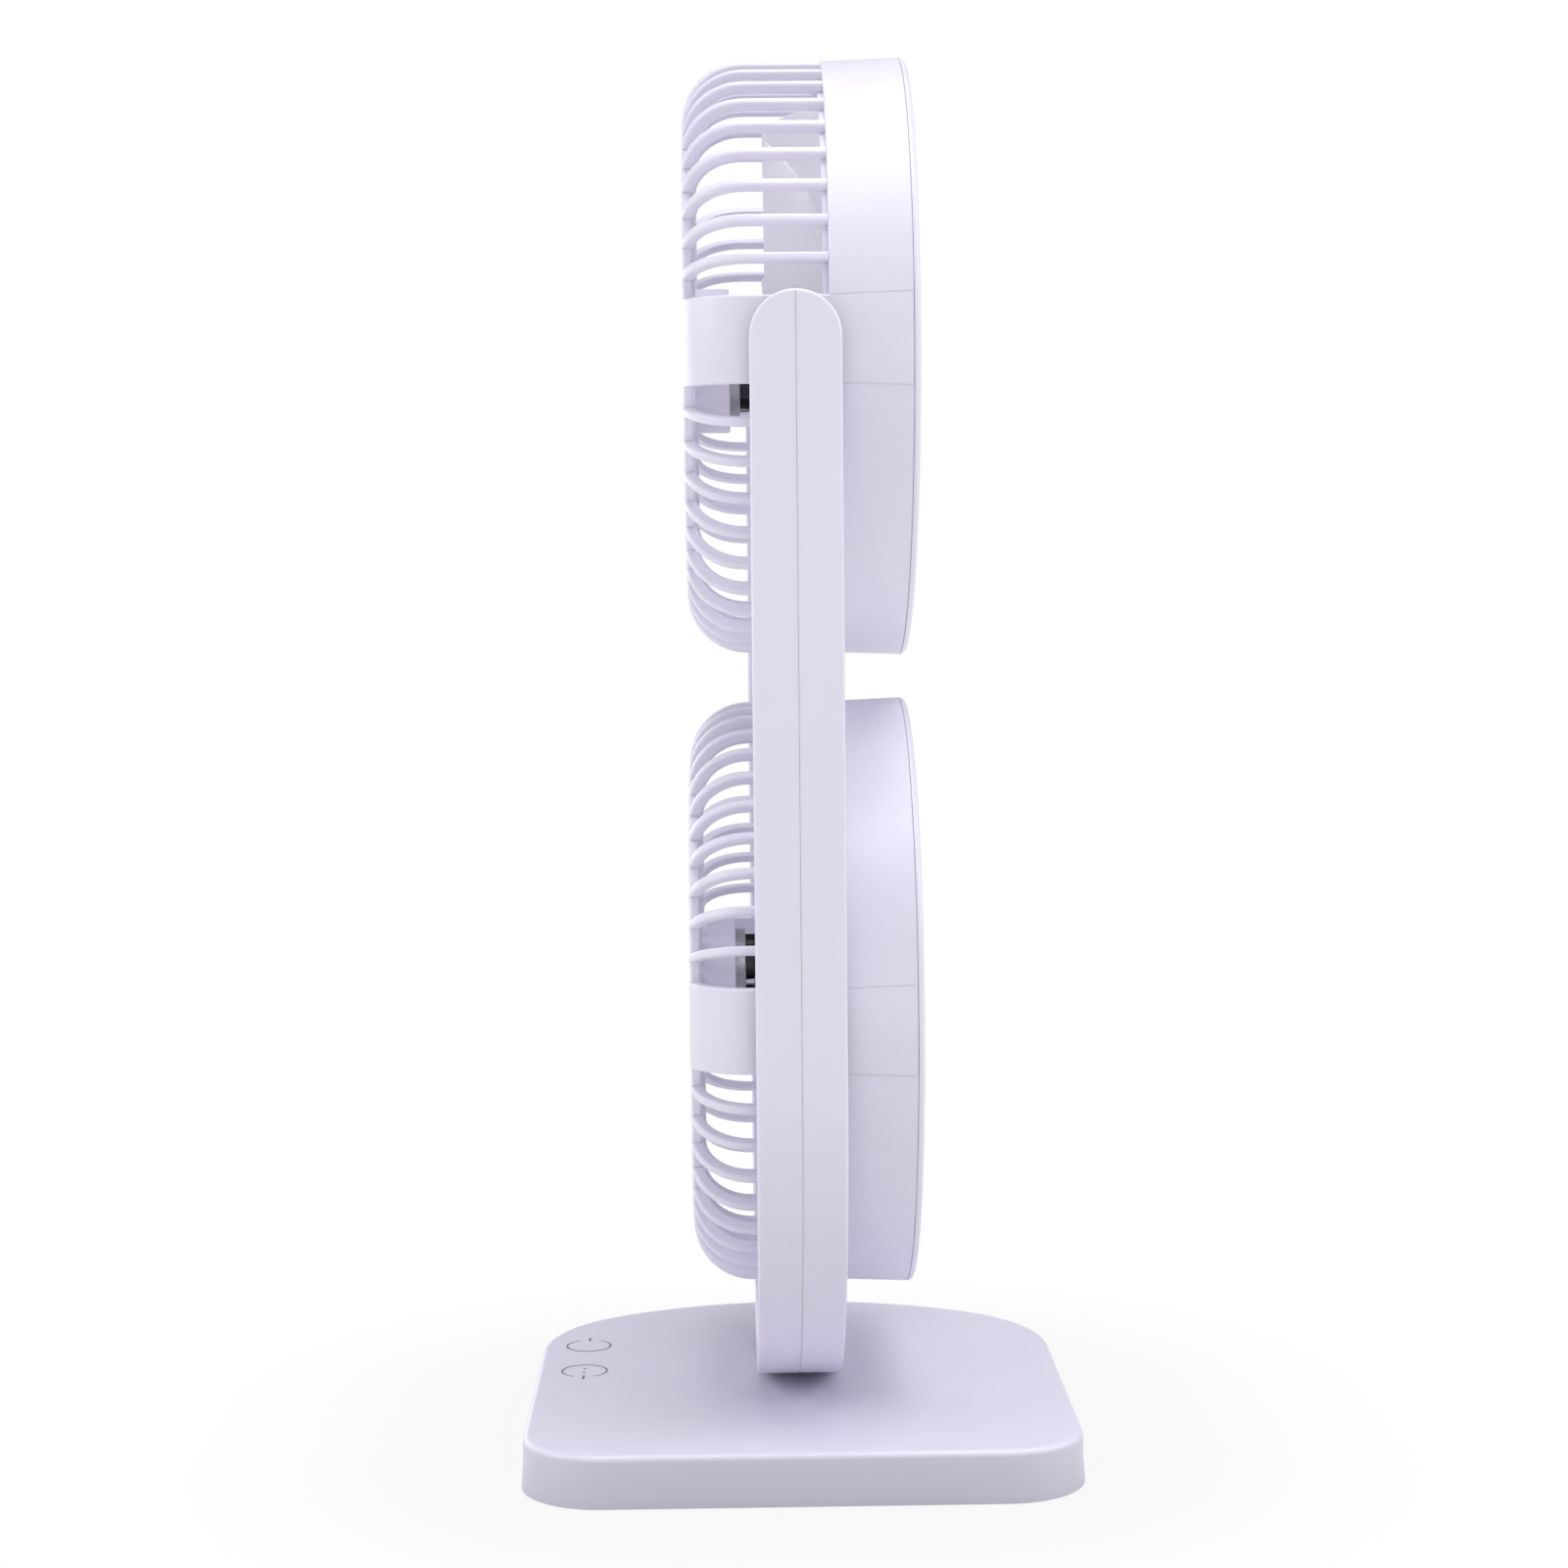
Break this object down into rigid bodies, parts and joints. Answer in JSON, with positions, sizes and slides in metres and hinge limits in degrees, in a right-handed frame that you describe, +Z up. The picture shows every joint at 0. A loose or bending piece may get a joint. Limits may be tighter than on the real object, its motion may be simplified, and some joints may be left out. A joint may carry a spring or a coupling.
{
  "type": "desk fan",
  "caption": "Desk fan with round caged heads stacked in a U-shaped tilting yoke that swivels on a low flat base.",
  "frame": {"origin": "on the table under the swivel axis, at the middle of the part's box", "axes": "+Z up; the heads blow towards -Y; X runs across the yoke"},
  "size_m": [0.18, 0.145, 0.3713],
  "materials": {
    "shell": "satin moulded plastic, white with a lavender tint",
    "blade": "semi-gloss white",
    "steel": "plain zinc-plated",
    "motor_steel": "drawn steel",
    "iron": "laminated, oiled",
    "coil": "black insulated windings",
    "dark_plastic": "matte black",
    "rubber": "matte",
    "battery": "foil pouch",
    "board": "green solder mask",
    "copper": "bare",
    "mark": "printed grey",
    "bush": "natural acetal",
    "wire": "black sleeve"
  },
  "bodies": {
    "base": {"base_top_cover": "shell", "base_bottom_plate": "shell", "ballast_plate": "steel", "battery_pack": "battery", "control_board": "board", "usb_board": "board", "usb_socket": "steel", "touch_pads": "copper", "touch_marks": "mark", "rubber_feet": "rubber", "base_screws": "steel", "swivel_washer": "dark_plastic"},
    "yoke": {"swivel_post": "shell", "swivel_nut": "steel", "yoke_front_shell": "shell", "yoke_rear_shell": "shell", "yoke_screws": "steel", "wire_loom": "wire", "pivot_bushes": "bush", "pivot_washers": "dark_plastic"},
    "upper_head": {"upper_front_grille": "shell", "upper_hub_cap": "shell", "upper_rear_casing": "shell", "upper_rear_cover": "shell", "upper_casing_screws": "steel", "upper_pivot_pins": "steel", "upper_motor_can": "motor_steel", "upper_stator_core": "iron", "upper_stator_coils": "coil", "upper_motor_end_cap": "dark_plastic", "upper_motor_bearings": "steel"},
    "upper_rotor": {"upper_motor_shaft": "steel", "upper_rotor_magnet": "iron", "upper_impeller": "blade"},
    "lower_head": {"lower_front_grille": "shell", "lower_hub_cap": "shell", "lower_rear_casing": "shell", "lower_rear_cover": "shell", "lower_casing_screws": "steel", "lower_pivot_pins": "steel", "lower_motor_can": "motor_steel", "lower_stator_core": "iron", "lower_stator_coils": "coil", "lower_motor_end_cap": "dark_plastic", "lower_motor_bearings": "steel"},
    "lower_rotor": {"lower_motor_shaft": "steel", "lower_rotor_magnet": "iron", "lower_impeller": "blade"}
  },
  "joints": [
    {"name": "yoke_swivel", "type": "hinge", "parent": "base", "child": "yoke", "pos_m": [0, 0, 0.014], "axis": [0, 0, 1], "range_deg": [-60, 60]},
    {"name": "upper_head_tilt", "type": "hinge", "parent": "yoke", "child": "upper_head", "pos_m": [0, 0, 0.2913], "axis": [1, 0, 0], "range_deg": [-90, 90]},
    {"name": "lower_head_tilt", "type": "hinge", "parent": "yoke", "child": "lower_head", "pos_m": [0, 0, 0.1193], "axis": [1, 0, 0], "range_deg": [-90, 90]},
    {"name": "upper_rotor_spin", "type": "hinge", "parent": "upper_head", "child": "upper_rotor", "pos_m": [0, 0, 0.2913], "axis": [0, 1, 0], "continuous": true},
    {"name": "lower_rotor_spin", "type": "hinge", "parent": "lower_head", "child": "lower_rotor", "pos_m": [0, 0, 0.1193], "axis": [0, 1, 0], "continuous": true}
  ]
}
